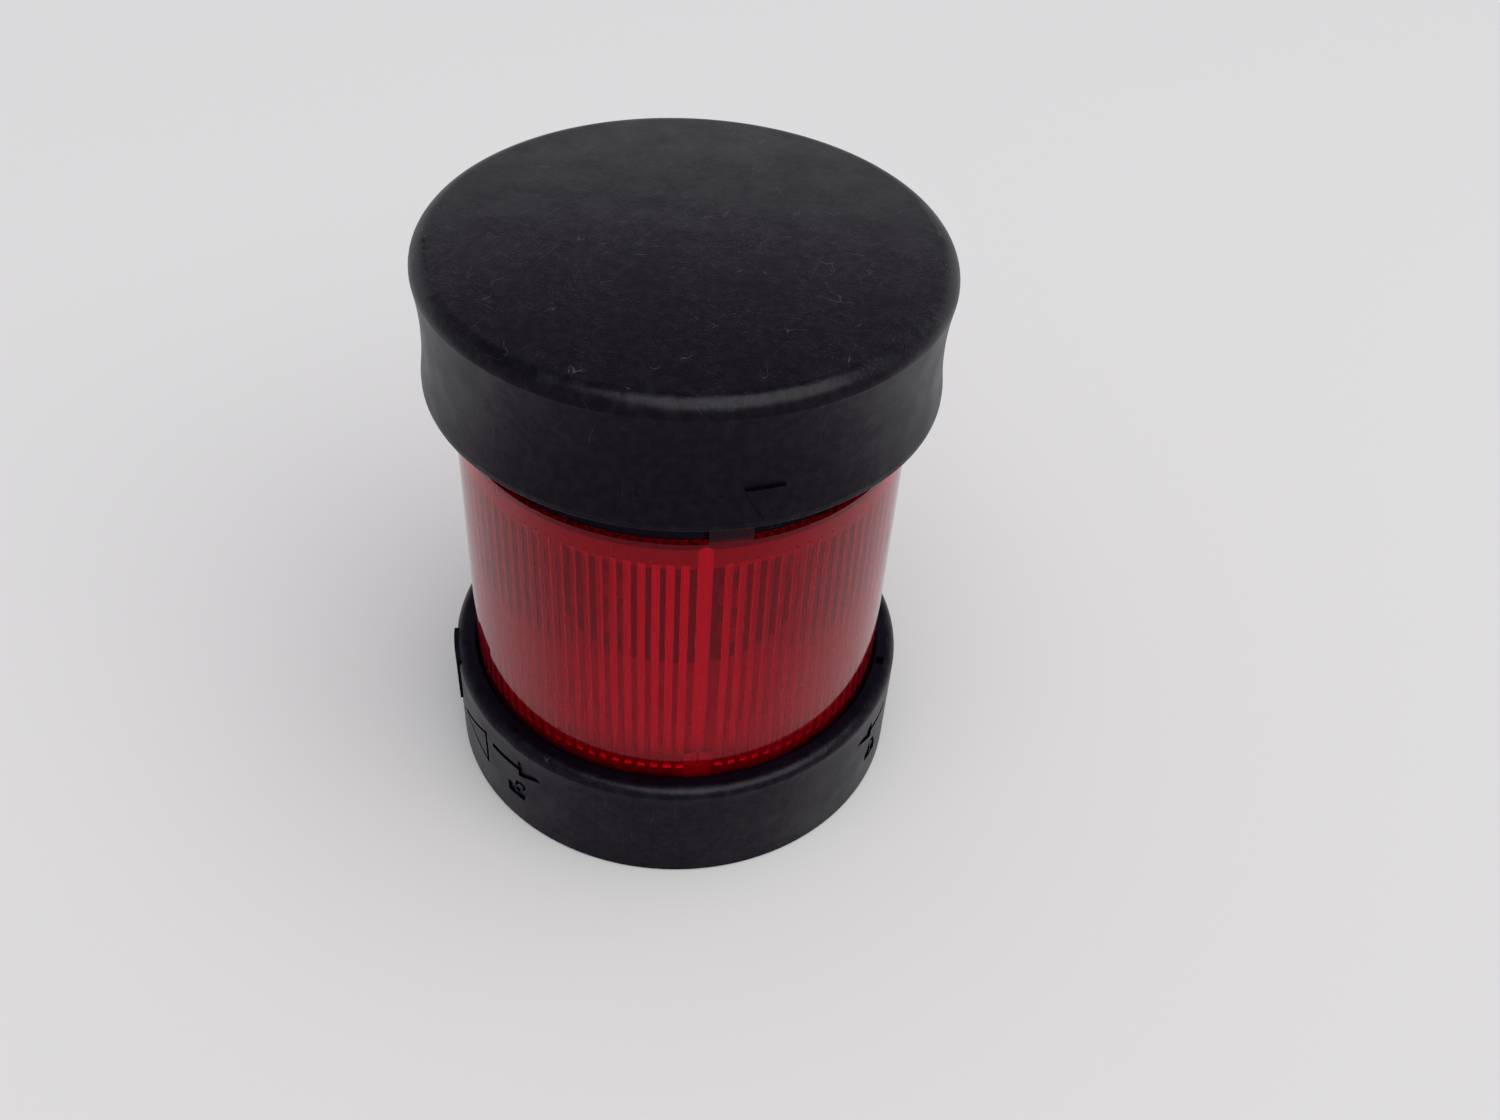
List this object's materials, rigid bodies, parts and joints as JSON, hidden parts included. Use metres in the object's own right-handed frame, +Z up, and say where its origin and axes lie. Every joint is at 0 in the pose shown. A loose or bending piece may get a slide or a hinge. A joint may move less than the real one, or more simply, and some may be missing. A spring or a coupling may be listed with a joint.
{
  "type": "signal tower light element",
  "caption": "Signal tower light element: ribbed red lens on a black twist-lock base ring, with a black twist-off cap, LED column and contacts inside.",
  "frame": {"origin": "on the tower's axis, in the plane of the lock ring's lower edge", "axes": "+Z up along the tower's axis, -Y towards the front, where the cap's raised index is"},
  "size_m": [0.0706, 0.0706, 0.0893],
  "materials": {
    "lens_red": "clear polished red, hazy with handling",
    "reflector_white": "white, satin",
    "shell_black": "satin black, fine grain, dusty",
    "seal_rubber": "matt black",
    "carrier_black": "glass-filled, dull",
    "contact_tin": "tin-plated bronze, wiped by use",
    "board_green": "green solder mask",
    "board_black": "black solder mask",
    "led_body": "white reflector moulding",
    "led_window": "clear resin over a red chip",
    "screw_steel": "zinc plated",
    "capacitor_sleeve": "shrink sleeve, satin",
    "varistor_coat": "dipped epoxy",
    "chip_black": "moulded epoxy",
    "resistor_blue": "lacquered"
  },
  "bodies": {
    "element": {"lens": "lens_red", "base_reflector": "reflector_white", "top_reflector": "reflector_white", "neck_seal": "seal_rubber", "contact_carrier": "carrier_black", "carrier_seal": "seal_rubber", "contact_blades": "contact_tin", "base_board": "board_green", "smoothing_capacitor": "capacitor_sleeve", "surge_varistor": "varistor_coat", "bridge_rectifier": "chip_black", "current_regulator": "chip_black", "ballast_resistors": "resistor_blue", "led_column": "carrier_black", "strip_boards": "board_black", "led_packages": "led_body", "led_windows": "led_window", "strip_pins": "contact_tin", "feed_rails": "contact_tin", "top_board": "board_green", "contact_clips": "contact_tin", "top_carrier": "carrier_black", "carrier_screws": "screw_steel", "top_carrier_screws": "screw_steel"},
    "ring": {"lock_ring": "shell_black"},
    "lifting_gasket": {"cap_gasket": "seal_rubber"},
    "top_cap": {"cap": "shell_black"}
  },
  "joints": [
    {"name": "ring_twist", "type": "hinge", "parent": "element", "child": "ring", "pos_m": [0, 0, 0.0093], "axis": [0, 0, -1], "range_deg": [0, 24]},
    {"name": "cap_lift", "type": "slide", "parent": "element", "child": "lifting_gasket", "axis": [0, 0, 1], "range_m": [0, 0.03]},
    {"name": "cap_twist", "type": "hinge", "parent": "lifting_gasket", "child": "top_cap", "pos_m": [0, 0, 0.078], "axis": [0, 0, -1], "range_deg": [0, 24]}
  ]
}
